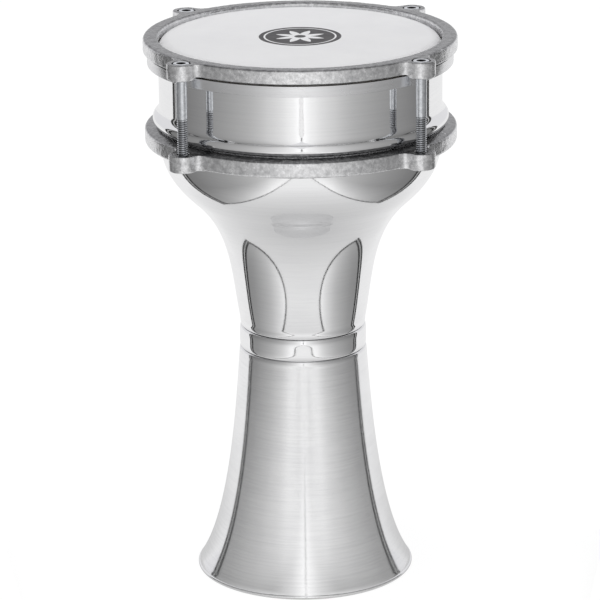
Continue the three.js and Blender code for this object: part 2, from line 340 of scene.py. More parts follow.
def spunMaterial(name, dull, roughness, anisotropy, lineScale):
    material, tree, shader = newMaterial(name, Metallic=1.0, Anisotropic=anisotropy, Anisotropic_Rotation=0.25)
    lines = place(tree, spunLines, {"Line scale": lineScale})
    turned = tree.nodes.new("ShaderNodeTangent")
    turned.direction_type = "RADIAL"
    turned.axis = "Z"
    tree.links.new(turned.outputs[0], shader.inputs["Tangent"])
    fine = ramp(tree, lines["Lines"], *spunLook["fineSpan"])
    broad = ramp(tree, lines["Bands"], *spunLook["bandSpan"])
    share = spunLook["bandShare"]
    tone = calc(tree, "MULTIPLY_ADD", broad, share, calc(tree, "MULTIPLY", fine, 1 - share))
    put(tree, shader.inputs["Base Color"], mixColours(tree, tone, dull, spunLook["bright"]))
    uneven = calc(tree, "MULTIPLY_ADD", lines["Smudges"], 0.5, calc(tree, "MULTIPLY", lines["Lines"], 0.5))
    scuffed = calc(tree, "MULTIPLY_ADD", lines["Scratches"], spunLook["scratchRough"], uneven, clamp=True)
    put(tree, shader.inputs["Roughness"], ramp(tree, scuffed, *spunLook["scuffSpan"], *roughness))
    height = calc(tree, "MULTIPLY_ADD", lines["Scratches"], spunLook["scratchDepth"], lines["Lines"])
    bump(tree, shader, height, spunLook["lineDepth"])
    return material


bowlSkin = spunMaterial(
    "polished bowl", spunLook["bowlDull"], spunLook["bowlRoughness"],
    spunLook["bowlAnisotropy"], spunLook["bowlLines"])
footSkin = spunMaterial(
    "spun foot", spunLook["footDull"], spunLook["footRoughness"],
    spunLook["footAnisotropy"], spunLook["footLines"])

innerLook = {
    "dull": (0.42, 0.42, 0.43, 1), "bright": (0.72, 0.72, 0.73, 1),
    "roughness": (0.34, 0.5), "lineDepth": 0.03 * mm,
}


def buildInnerSkin():
    material, tree, shader = newMaterial("bare inside", Metallic=1.0)
    lines = place(tree, spunLines, {"Line scale": 500.0, "Band scale": 90.0})
    tone = calc(tree, "MULTIPLY_ADD", lines["Bands"], 0.5, calc(tree, "MULTIPLY", lines["Smudges"], 0.5))
    put(tree, shader.inputs["Base Color"], mixColours(tree, tone, innerLook["dull"], innerLook["bright"]))
    put(tree, shader.inputs["Roughness"], ramp(tree, lines["Smudges"], *noiseSpan, *innerLook["roughness"]))
    bump(tree, shader, lines["Lines"], innerLook["lineDepth"])
    return material


innerSkin = buildInnerSkin()

hoopLook = {
    "bright": (0.90, 0.90, 0.91, 1), "dull": (0.74, 0.74, 0.75, 1),
    "roughness": (0.2, 0.32), "lineDepth": 0.01 * mm,
}


def buildHoopSkin():
    material, tree, shader = newMaterial("satin hoop", Metallic=1.0)
    lines = place(tree, spunLines, {"Line scale": 2600.0, "Band scale": 400.0})
    put(tree, shader.inputs["Base Color"], mixColours(tree, lines["Bands"], hoopLook["dull"], hoopLook["bright"]))
    put(tree, shader.inputs["Roughness"], ramp(tree, lines["Smudges"], *noiseSpan, *hoopLook["roughness"]))
    bump(tree, shader, lines["Lines"], hoopLook["lineDepth"])
    return material


hoopSkin = buildHoopSkin()

castLook = {
    "light": (0.93, 0.93, 0.94, 1), "dark": (0.58, 0.58, 0.59, 1), "worn": (0.95, 0.95, 0.96, 1),
    # the two top colours are a painted dark reflection on the rings' upward faces, not the metal's own tone
    "topLight": (0.34, 0.34, 0.345, 1), "topReflectionDark": (0.11, 0.11, 0.115, 1),
    "roughness": (0.14, 0.30), "unevenSpan": (0.2, 0.8),
    "grainDepth": 0.35 * mm, "grainStrength": 0.7, "patchScale": 400.0,
    "dust": (0.6, 0.6, 0.6, 1), "dustShare": 0.25,
    # the under colours are a near-black painted shade for the rings' undersides and hole bottoms
    "underShadeDark": (0.012, 0.012, 0.012, 1), "underShadeLight": (0.03, 0.03, 0.03, 1),
    "underRoughness": (0.5, 0.75),
}


def buildCastSkin():
    material, tree, shader = newMaterial("cast skin", Metallic=1.0)
    mottle = place(tree, castMottle, {"Patch scale": castLook["patchScale"]})
    wear = place(tree, edgeWear)["Worn"]
    skin = place(tree, upwardSkin, {"Start": 0.45, "Full": 0.9})
    side = mixColours(tree, mottle["Patches"], castLook["dark"], castLook["light"])
    # upward faces get a painted dark reflection: the top colours are mixed over the side colour by how squarely
    # the surface faces up
    top = mixColours(tree, mottle["Patches"], castLook["topReflectionDark"], castLook["topLight"])
    plain = mixColours(tree, skin["Top"], side, top)
    dust = calc(tree, "MULTIPLY", skin["Dust"], castLook["dustShare"])
    dusty = mixColours(tree, dust, plain, castLook["dust"])
    put(tree, shader.inputs["Base Color"], mixColours(tree, wear, dusty, castLook["worn"]))
    uneven = calc(tree, "MULTIPLY_ADD", mottle["Grain"], 0.5, calc(tree, "MULTIPLY", mottle["Patches"], 0.5))
    put(tree, shader.inputs["Roughness"], ramp(tree, uneven, *castLook["unevenSpan"], *castLook["roughness"]))
    bump(tree, shader, mottle["Height"], castLook["grainDepth"], castLook["grainStrength"])
    return material


castSkin = buildCastSkin()


# The rings' undersides get a near-black painted shade.
def buildPaintedShadeSkin():
    material, tree, shader = newMaterial("painted shade underside", Specular_IOR_Level=0.2)
    mottle = place(tree, castMottle)
    put(tree, shader.inputs["Base Color"],
        mixColours(tree, mottle["Patches"], castLook["underShadeDark"], castLook["underShadeLight"]))
    rough = ramp(tree, mottle["Grain"], *noiseSpan, *castLook["underRoughness"])
    put(tree, shader.inputs["Roughness"], rough)
    bump(tree, shader, mottle["Height"], castLook["grainDepth"], castLook["grainStrength"])
    return material


paintedShadeSkin = buildPaintedShadeSkin()

boltLook = {
    # the dark colour and its distance span are painted shade in the thread roots, the hexagon socket and the tip
    "bright": (0.80, 0.82, 0.85, 1), "dull": (0.58, 0.60, 0.63, 1), "rootShade": (0.26, 0.26, 0.27, 1),
    "roughness": (0.12, 0.26), "boltSpot": 68.872 * mm, "rootShadeSpan": (2.72 * mm, 3.05 * mm),
    "grainDepth": 0.01 * mm, "grainStrength": 0.5,
}


def buildBoltSkin():
    material, tree, shader = newMaterial("plated steel", Metallic=1.0)
    mottle = place(tree, castMottle, {"Patch scale": 500.0, "Grain scale": 2600.0})
    plate = mixColours(tree, mottle["Patches"], boltLook["dull"], boltLook["bright"])
    # painted shade lies in the thread's roots, the hexagon socket and the tip, found by the distance from each
    # bolt's own middle
    x, y = places(tree)[:2]
    dx = calc(tree, "SUBTRACT", calc(tree, "ABSOLUTE", x), boltLook["boltSpot"])
    dy = calc(tree, "SUBTRACT", calc(tree, "ABSOLUTE", y), boltLook["boltSpot"])
    away = calc(tree, "SQRT", calc(tree, "ADD", calc(tree, "MULTIPLY", dx, dx), calc(tree, "MULTIPLY", dy, dy)))
    put(tree, shader.inputs["Base Color"],
        mixColours(tree, ramp(tree, away, *boltLook["rootShadeSpan"]), boltLook["rootShade"], plate))
    put(tree, shader.inputs["Roughness"], ramp(tree, mottle["Grain"], *noiseSpan, *boltLook["roughness"]))
    bump(tree, shader, mottle["Height"], boltLook["grainDepth"], boltLook["grainStrength"])
    return material


boltSkin = buildBoltSkin()

filmLook = {
    "white": (0.80, 0.80, 0.805, 1), "cloudy": (0.77, 0.77, 0.778, 1), "ink": (0.032, 0.030, 0.032, 1),
    "discRadius": 24.5 * mm, "ringInner": 20.6 * mm, "ringOuter": 21.7 * mm,
    "starLow": 6.0 * mm, "starHigh": 15.5 * mm, "starPoints": 8, "heart": 3.4 * mm,
    "edgeBlur": 0.12 * mm, "printDepth": (1.5 * mm, 0.6 * mm), "cloudSpan": (0.35, 0.65),
    "roughness": (0.42, 0.55), "grainDepth": 0.01 * mm, "grainStrength": 0.5,
}


# A dark printed disc with a plain ring and an eight-pointed star left white in it.
def buildFilmSkin():
    look = filmLook
    material, tree, shader = newMaterial("drum film", Specular_IOR_Level=0.45, Coat_Roughness=0.3)
    x, y, z, r, spot = places(tree)
    blur = look["edgeBlur"]

    def inside(edge):
        low = edge - blur if isinstance(edge, float) else calc(tree, "SUBTRACT", edge, blur)
        high = edge + blur if isinstance(edge, float) else calc(tree, "ADD", edge, blur)
        return ramp(tree, r, low, high, 1.0, 0.0, smooth=True)

    turn = calc(tree, "MULTIPLY", calc(tree, "ARCTAN2", y, x), look["starPoints"] / tau)
    fold = calc(tree, "PINGPONG", turn, 0.5)
    starEdge = ramp(tree, fold, 0.0, 0.5, look["starLow"], look["starHigh"])
    ring = calc(tree, "SUBTRACT", inside(look["ringOuter"]), inside(look["ringInner"]))
    star = calc(tree, "SUBTRACT", inside(starEdge), inside(look["heart"]))
    bare = calc(tree, "ADD", ring, star, clamp=True)
    ink = calc(tree, "MULTIPLY", inside(look["discRadius"]), calc(tree, "SUBTRACT", 1.0, bare), clamp=True)
    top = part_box("head_film")[1].z
    onTop = ramp(tree, z, *(top - depth for depth in look["printDepth"]))
    ink = calc(tree, "MULTIPLY", ink, onTop)
    clouds = ramp(tree, noiseValue(tree, spot, 30.0, 4.0), *look["cloudSpan"])
    plain = mixColours(tree, clouds, look["cloudy"], look["white"])
    put(tree, shader.inputs["Base Color"], mixColours(tree, ink, plain, look["ink"]))
    scuffs = noiseValue(tree, spot, 160.0, 6.0, 0.7)
    put(tree, shader.inputs["Roughness"], ramp(tree, scuffs, *noiseSpan, *look["roughness"]))
    bump(tree, shader, noiseValue(tree, spot, 900.0, 3.0), look["grainDepth"], look["grainStrength"])
    return material


filmSkin = buildFilmSkin()


resinLook = {
    "dark": (0.28, 0.19, 0.07, 1), "light": (0.42, 0.32, 0.16, 1), "roughness": (0.22, 0.4), "depth": 0.1 * mm,
}


def buildResinSkin():
    material, tree, shader = newMaterial("set resin", Specular_IOR_Level=0.5)
    spot = places(tree)[4]
    clouds = noiseValue(tree, spot, 120.0, 4.0)
    put(tree, shader.inputs["Base Color"], mixColours(tree, clouds, resinLook["dark"], resinLook["light"]))
    put(tree, shader.inputs["Roughness"], ramp(tree, clouds, *noiseSpan, *resinLook["roughness"]))
    bump(tree, shader, clouds, resinLook["depth"])
    return material


resinSkin = buildResinSkin()
print("finishes made")


shellShape = {
    "roundSteps": 240, "wall": 2 * mm,
    "shoulder": 4 * mm, "shoulderInset": 1 * mm,
    "lipProud": 0.6 * mm, "lipHeight": 2.4 * mm,
    "footNeck": 38.8 * mm, "footFlare": (20.8 * mm, 33.3 * mm), "footWaist": (1.9 * mm, 22.3 * mm),
    "gobletNeck": 38 * mm, "neckSlope": 0.176,
    "throat": (65.1 * mm, 79.5 * mm), "throatSlope": 1.1,
    "pulls": (29.3 * mm, 30.5 * mm, 16.7 * mm, 17.9 * mm),
    "bowlHeight": 118.6 * mm,
    "beadHeight": 130 * mm, "beadRadius": 3.9 * mm, "cove": 6 * mm,
    "bearing": (2.8 * mm, 12 * mm), "bearingRound": 3 * mm,
}


# A shoulder that rolls in to the V groove at the collar, from the shell's side up or down to its end face.
def rolledEnd(radius, end, inward, height, steps=10):
    sign = 1 if end > inward else -1
    inset = shellShape["shoulderInset"]
    points = []
    for i in range(steps + 1):
        t = i / steps
        points.append((radius - inset * t ** 2.2, inward + sign * height * (1 - (1 - t) ** 1.6)))
    return points


def buildFoot():
    s = shellShape
    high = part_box("foot_bell")[1]
    rim = high.x - s["lipProud"]
    shoulder = high.z - s["shoulder"]
    side = bezier((rim, s["lipHeight"]), (rim - s["footFlare"][0], s["footFlare"][1]),
                  (s["footNeck"] + s["footWaist"][0], shoulder - s["footWaist"][1]),
                  (s["footNeck"], shoulder), 90)
    inner = moved(side, s["wall"])[::-1]
    roll = s["lipHeight"] / 2
    lip = joined(straight((rim - s["wall"], 0), (rim + s["lipProud"] - roll, 0), 3),
                 arc((rim + s["lipProud"] - roll, roll), roll, -90, 75, 12))
    end = rolledEnd(s["footNeck"], high.z, shoulder, s["shoulder"])
    outer = joined(lip, side[1:], end)
    outline = joined(outer, [(s["footNeck"] - s["wall"], high.z)], inner)
    zones = [0] * len(outer) + [1] * (len(outline) - len(outer))
    bm = turnedMesh(outline, s["roundSteps"], zones=zones)
    standFor(toObject(bm, "foot_skin", [footSkin, innerSkin]), "foot_bell", "shell")


def buildGoblet():
    s = shellShape
    low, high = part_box("goblet_shell")
    base, top = low.z, high.z
    barrel = high.x - s["beadRadius"]
    neckPull, downPull, upPull, bowlPull = s["pulls"]
    start = (s["gobletNeck"], base + s["shoulder"])
    throat = (s["throat"][0], base + s["throat"][1])
    lean = math.hypot(s["throatSlope"], 1)
    steep = (s["throatSlope"] / lean, 1 / lean)
    down = (throat[0] - steep[0] * downPull, throat[1] - steep[1] * downPull)
    up = (throat[0] + steep[0] * upPull, throat[1] + steep[1] * upPull)
    bowlTop = base + s["bowlHeight"]
    bead = base + s["beadHeight"]
    reach = math.sqrt((s["beadRadius"] + s["cove"]) ** 2 - s["cove"] ** 2)
    coveAngle = math.degrees(math.atan2(reach, s["cove"]))
    inset = barrel - s["bearing"][0]
    edge = s["bearingRound"]
    side = joined(
        bezier(start, (start[0] + s["neckSlope"] * neckPull, start[1] + neckPull), down, throat, 70),
        bezier(throat, up, (barrel, bowlTop - bowlPull), (barrel, bowlTop), 60),
        straight((barrel, bowlTop), (barrel, bead - s["beadRadius"]), 6),
        arc((barrel, bead), s["beadRadius"], -90, coveAngle, 26),
        arc((barrel + s["cove"], bead + reach), s["cove"], 180 + coveAngle, 180, 14),
        straight((barrel, bead + reach), (barrel, top - s["bearing"][1]), 16),
        straight((barrel, top - s["bearing"][1]), (inset + edge * 0.25, top - edge), 6),
        bezier((inset + edge * 0.25, top - edge), (inset, top - edge * 0.3),
               (inset - edge * 0.3, top), (inset - edge, top), 8))
    inner = moved(side, s["wall"])[::-1]
    start = rolledEnd(s["gobletNeck"], base, base + s["shoulder"], s["shoulder"])[::-1]
    outer = joined(start, side)
    outline = joined(outer, inner, [(s["gobletNeck"] - s["wall"], base)])
    zones = [0] * (len(outer) - 1) + [1] * (len(outline) - len(outer) + 1)
    bm = turnedMesh(outline, s["roundSteps"], zones=zones)
    standFor(toObject(bm, "goblet_skin", [bowlSkin, innerSkin]), "goblet_shell", "shell")


collarShape = {"wall": 3 * mm, "spigot": 9 * mm, "gap": 0.3 * mm, "height": 13.2 * mm}


def buildCollar():
    s, c = shellShape, collarShape
    low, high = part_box("neck_collar")
    base = low.z + c["spigot"]
    top = base + c["height"]
    lowSpigot = s["footNeck"] - s["wall"] - c["gap"]
    highSpigot = s["gobletNeck"] - s["wall"] - c["gap"]
    shoulder = s["shoulder"]
    outline = joined(
        [(lowSpigot, base)],
        rolledEnd(high.x, base, base + shoulder, shoulder)[::-1],
        straight((high.x, base + shoulder), (high.x, top - shoulder), 4),
        rolledEnd(high.x, top, top - shoulder, shoulder),
        [(highSpigot, top), (highSpigot, high.z), (highSpigot - c["wall"], high.z),
         (highSpigot - c["wall"], low.z), (lowSpigot, low.z)])
    zones = [1 if p[0] < highSpigot + 0.4 * mm else 0 for p in outline]
    bm = turnedMesh(outline, s["roundSteps"], zones=zones)
    standFor(toObject(bm, "collar_skin", [bowlSkin, innerSkin]), "neck_collar", "shell")


buildFoot()
buildGoblet()
buildCollar()
print("shell made")


headShape = {
    "film": 0.4 * mm, "corner": 2.2 * mm, "round": 4.5 * mm,
    "hoopWall": 1.1 * mm, "hoopGap": 0.95 * mm, "innerHeight": 3.6 * mm, "gap": 0.3 * mm, "softEdge": 0.35 * mm,
}


def buildFilm():
    h = headShape
    low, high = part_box("head_film")
    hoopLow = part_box("flesh_hoop")[0]
    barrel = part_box("goblet_shell")[1].x - shellShape["beadRadius"]
    middle = high.z - h["film"] / 2
    corner = (barrel - h["corner"], middle)
    skirt = barrel + h["hoopGap"] + h["hoopWall"] + h["gap"] + h["film"]
    wallTop = hoopLow.z + h["innerHeight"]
    over = (skirt - h["hoopWall"], wallTop + 3 * h["gap"] + h["film"])
    length = math.dist(corner, over)
    along = ((over[0] - corner[0]) / length, (over[1] - corner[1]) / length)
    turned = (corner[0] + along[0] * h["round"], corner[1] + along[1] * h["round"])
    flat = corner[0] - h["round"]

    def curved(a, b, c, steps):
        return bezier(a, tuple(p + (q - p) * 2 / 3 for p, q in zip(a, b)),
                      tuple(p + (q - p) * 2 / 3 for p, q in zip(c, b)), c, steps)

    line = joined(
        straight((0, middle), (flat, middle), 30),
        curved((flat, middle), corner, turned, 14),
        straight(turned, over, 6),
        curved(over, (skirt, over[1] - 3 * h["gap"]), (skirt, wallTop - h["gap"]), 5),
        straight((skirt, wallTop - h["gap"]), (skirt, low.z), 2))
    above = moved(line, h["film"] / 2)
    below = moved(line, -h["film"] / 2)
    above[0] = (0.0, above[0][1])
    below[0] = (0.0, below[0][1])
    bm = turnedMesh(above + below[::-1], 200)
    standFor(toObject(bm, "film_skin", [filmSkin]), "head_film", "head")


def buildFleshHoop():
    h = headShape
    low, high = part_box("flesh_hoop")
    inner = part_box("goblet_shell")[1].x - shellShape["beadRadius"] + h["hoopGap"]
    wall, e = h["hoopWall"], h["softEdge"]
    step = inner + wall
    outline = joined(
        arc((inner + e, low.z + e), e, 180, 270, 4),
        arc((high.x - e, low.z + e), e, -90, 0, 6),
        arc((high.x - e, high.z - e), e, 0, 90, 6),
        arc((high.x - wall + e, high.z - e), e, 90, 180, 6),
        [(high.x - wall, low.z + wall), (step, low.z + wall)],
        arc((step - e, low.z + h["innerHeight"] - e), e, 0, 90, 4),
        arc((inner + e, low.z + h["innerHeight"] - e), e, 90, 180, 4))
    bm = turnedMesh(outline, 240)
    standFor(toObject(bm, "hoop_skin", [hoopSkin]), "flesh_hoop", "head")


def buildResin():
    h = headShape
    low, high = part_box("hoop_resin")
    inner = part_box("goblet_shell")[1].x - shellShape["beadRadius"] + h["hoopGap"]
    inner += h["hoopWall"] + 2 * h["gap"] + 1.5 * h["film"]
    sag = 0.5 * mm
    outline = joined([(inner, low.z), (high.x, low.z), (high.x, high.z)],
                     bezier((high.x, high.z), (high.x - 0.5 * mm, high.z - sag),
                            (inner + 0.5 * mm, high.z - sag), (inner, high.z), 6))
    bm = turnedMesh(outline, 160)
    standFor(toObject(bm, "resin_skin", [resinSkin]), "hoop_resin", "head")


buildFilm()
buildFleshHoop()
buildResin()
print("head made")


castShape = {
    "voxel": 0.42 * mm, "smoothing": 4, "roughness": 0.16 * mm, "noiseSize": 5 * mm,
    "lugCircle": 97.4 * mm, "lugRadius": 8.5 * mm, "fillet": 5 * mm, "sink": 0.2 * mm,
    "upperDrop": 1.9 * mm, "lowerDrop": 0.7 * mm, "lugRound": 1.2 * mm,
    "hole": 3.525 * mm, "counterbore": 5.61 * mm, "rimChamfer": 0.35 * mm,
    # the edge inset on this line and the hole depth two lines down place the painted shade on the underside and
    # in the holes
    "partingRib": 0.42 * mm, "underShadeEdge": 0.35 * mm, "lugs": 4, "bossRound": 0.9 * mm,
    "ribSink": 0.1 * mm, "ribFoot": (1.5 * mm, 2 * mm), "ribHead": (1.4 * mm, 0.9 * mm),
    "cutOver": 2 * mm, "clearDepth": 9 * mm, "holeShadeDepth": 1.2 * mm,
}


def lugAngles():
    return [tau * (i + 0.5) / castShape["lugs"] for i in range(castShape["lugs"])]


# Seen from above: a lug that runs into its ring through two hollow fillets.
def lugOutline(ringRadius, lugRadius, steps=10):
    c = castShape
    toFillet = ringRadius + c["fillet"]
    lugToFillet = lugRadius + c["fillet"]
    circle = c["lugCircle"]
    swing = math.acos((toFillet ** 2 + circle ** 2 - lugToFillet ** 2) / (2 * toFillet * circle))
    fillet = (toFillet * math.cos(swing), toFillet * math.sin(swing))
    lean = math.degrees(math.atan2(fillet[1], fillet[0] - circle))
    swingDegrees = math.degrees(swing)
    root = ringRadius - c["lugRadius"] * 0.5
    return joined(
        [(root * math.cos(swing), -root * math.sin(swing))],
        arc((fillet[0], -fillet[1]), c["fillet"], 180 - swingDegrees, 180 - lean, steps),
        [(circle, 0)],
        arc(fillet, c["fillet"], lean - 180, swingDegrees - 180, steps),
        [(root * math.cos(swing), root * math.sin(swing))])


def prism(outline, low, high, angle):
    bm = bmesh.new()
    spin = Matrix.Rotation(angle, 3, "Z")
    bottom = [bm.verts.new(spin @ Vector((x, y, low))) for x, y in outline]
    top = [bm.verts.new(spin @ Vector((x, y, high))) for x, y in outline]
    count = len(outline)
    bm.faces.new(bottom[::-1])
    bm.faces.new(top)
    for i in range(count):
        j = (i + 1) % count
        bm.faces.new((bottom[i], bottom[j], top[j], top[i]))
    bmesh.ops.recalc_face_normals(bm, faces=bm.faces)
    return bm


# One lug: its web, boss and parting rib, run into the ring.
def addLug(bm, angle, ringRadius, low, webBase, top):
    c = castShape
    x, y = c["lugCircle"] * math.cos(angle), c["lugCircle"] * math.sin(angle)
    addInto(bm, prism(lugOutline(ringRadius, c["lugRadius"]), webBase, top, angle))
    foot, crown = c["lugRound"], c["bossRound"]
    boss = joined(
        [(0, low)],
        arc((c["lugRadius"] - foot, low + foot), foot, -90, 0, 5),
        arc((c["lugRadius"] - crown, top - crown), crown, 0, 90, 5),
        [(0, top)])
    addInto(bm, turnedMesh(boss, 48, x, y))
    out = c["lugCircle"] + c["lugRadius"] - c["ribSink"]
    rib = [
        (0, low + c["ribFoot"][0]), (c["partingRib"], low + c["ribFoot"][1]),
        (c["partingRib"], top - c["ribHead"][0]), (0, top - c["ribHead"][1])]
    addInto(bm, turnedMesh(rib, 10, out * math.cos(angle), out * math.sin(angle)))


# Tumbling takes metal off unevenly, never adds any.
def tumble(mesh):
    c = castShape
    normals = [n.vector.copy() for n in mesh.vertex_normals]
    spots = [v.co.copy() for v in mesh.vertices]
    for i, (spot, normal) in enumerate(zip(spots, normals)):
        rough = max(-1.0, min(1.0, noise.fractal(spot / c["noiseSize"], 0.8, 2.0, 3)))
        spots[i] = spot - normal * c["roughness"] * (0.5 + 0.5 * rough)
    mesh.vertices.foreach_set("co", [k for spot in spots for k in spot])
    mesh.update()


# All that is cut out of a ring: bolt holes, their counterbores, and the space round the flesh hoop.
def castCutter(low, webBase, top, seat, clearRadius):
    c = castShape
    over, chamfer, hole = c["cutOver"], c["rimChamfer"], c["hole"]
    wide = c["counterbore"] if seat else hole
    cut = [(0, low - over), (hole, low - over)]
    if seat:
        cut += [(hole, seat), (wide, seat)]
    cut += [(wide, top - chamfer), (wide + chamfer + over, top + over), (0, top + over)]
    bm = bmesh.new()
    for angle in lugAngles():
        x, y = c["lugCircle"] * math.cos(angle), c["lugCircle"] * math.sin(angle)
        addInto(bm, turnedMesh(cut, 56, x, y))
    if clearRadius:
        inner = clearRadius - c["clearDepth"]
        ring = [(inner, low - over), (clearRadius, low - over), (clearRadius, webBase), (inner, webBase)]
        addInto(bm, turnedMesh(ring, 220))
    return toObject(bm, "cutter", [])


# Painted shade: the underside and the bottoms of the holes are given the near-black shade material.
def paintShadeOnHidden(mesh, ringRadius, webBase, top):
    c = castShape
    lugSpot = c["lugCircle"] * math.sqrt(0.5)
    for face in mesh.polygons:
        fromAxis = math.hypot(face.center.x, face.center.y)
        fromLug = math.hypot(abs(face.center.x) - lugSpot, abs(face.center.y) - lugSpot)
        inHole = fromLug < c["counterbore"] + 0.05 * mm and face.center.z < top - c["holeShadeDepth"]
        under = face.center.z < webBase + c["underShadeEdge"] and fromAxis < ringRadius - c["underShadeEdge"]
        face.material_index = 1 if under or inHole else 0


# Ring and lugs are run together, softened, roughened a little, then drilled.
def castPiece(name, ringOutline, ringRadius, top, webBase, drop, seat=None, clearRadius=None):
    c = castShape
    bm = turnedMesh(ringOutline, 220)
    low = webBase - drop
    for angle in lugAngles():
        addLug(bm, angle, ringRadius, low, webBase, top)
    obj = toObject(bm, name, [castSkin, paintedShadeSkin], 60)
    voxel = c["voxel"] * 1
    useModifier(obj, "REMESH", mode="VOXEL", voxel_size=voxel, use_smooth_shade=True)
    useModifier(obj, "SMOOTH", factor=0.5, iterations=c["smoothing"])
    tumble(obj.data)
    cutter = castCutter(low, webBase, top, seat, clearRadius)
    useModifier(obj, "BOOLEAN", operation="DIFFERENCE", object=cutter, solver="MANIFOLD")
    bpy.data.objects.remove(cutter)
    # painted shade on the underside and in the bottoms of the holes
    paintShadeOnHidden(obj.data, ringRadius, webBase, top)
    obj.data.shade_smooth()
    obj.data.set_sharp_from_angle(angle=math.radians(50))
    return obj


lowerRingShape = {"gap": 0.8 * mm, "rise": 0.9 * mm, "height": 9.7 * mm, "round": 1.9 * mm}


def buildLowerRing():
    r = lowerRingShape
    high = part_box("lower_ring")[1]
    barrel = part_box("goblet_shell")[1].x - shellShape["beadRadius"]
    inner, outer = barrel + r["gap"], high.x
    base = high.z - r["rise"] - r["height"]
    flat = high.z - r["rise"]
    k = r["round"]
    outline = joined(
        [(inner, base)],
        arc((outer - k, base + k), k, -90, 0, 8),
        arc((outer - k, flat - k), k, 0, 90, 8),
        [(inner + k, high.z), (inner, high.z)])
    obj = castPiece("lower_ring_skin", outline, outer, flat - castShape["sink"], base, castShape["lowerDrop"])
    standFor(obj, "lower_ring", "shell")


counterShape = {
    "height": 8.1 * mm, "innerWall": 4.8 * mm, "lip": 1.2 * mm, "lipWidth": 3 * mm,
    "round": 1.9 * mm, "edge": 0.4 * mm, "innerBevel": 1.1 * mm,
}


def buildCounterHoop():
    k = counterShape
    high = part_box("counter_hoop")[1]
    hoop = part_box("flesh_hoop")[1]
    outer = high.x
    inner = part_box("goblet_shell")[1].x - shellShape["beadRadius"] - 0.2 * mm
    top = high.z
    base = top - k["height"]
    lipOuter = hoop.x - headShape["hoopWall"] / 2
    bevel = k["innerBevel"]
    outline = joined(
        [(lipOuter - k["lipWidth"], base - k["lip"]), (lipOuter, base - k["lip"]), (lipOuter, base)],
        arc((outer - k["edge"], base + k["edge"]), k["edge"], -90, 0, 4),
        arc((outer - k["round"], top - k["round"]), k["round"], 0, 90, 8),
        [(inner + bevel, top), (inner, top - bevel), (inner, top - k["innerWall"])])
    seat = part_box("tension_bolt_front_left")[1].z - boltShape["headHeight"] - 0.3 * mm
    obj = castPiece("counter_hoop_skin", outline, outer, top - castShape["sink"], base,
                    castShape["upperDrop"], seat, hoop.x + 0.3 * mm)
    standFor(obj, "counter_hoop", "hoop")


boltShape = {
    "steps": 48, "shank": 3.175 * mm, "head": 4.76 * mm, "headHeight": 6.35 * mm,
    "socketFlats": 4.76 * mm, "socketDepth": 3.2 * mm, "edge": 0.5 * mm,
    "pitch": 1.27 * mm, "threadDepth": 0.62 * mm, "threadTop": 31.3 * mm, "rowsPerTurn": 12,
    "crest": 0.12, "flank": 0.72, "fadeTurns": 1.5, "leadTurns": 0.9, "leadDepth": 0.9, "tipDepth": 1.6,
    "plainRun": 12 * mm, "neckFillet": (0.5 * mm, 0.25 * mm), "headEdge": 0.15 * mm,
    "socketBevel": (0.7 * mm, 0.35 * mm), "socketSteps": (0.12 * mm, 0.4 * mm), "drillPoint": 0.7 * mm,
}

buildLowerRing()
buildCounterHoop()
print("cast rings made")


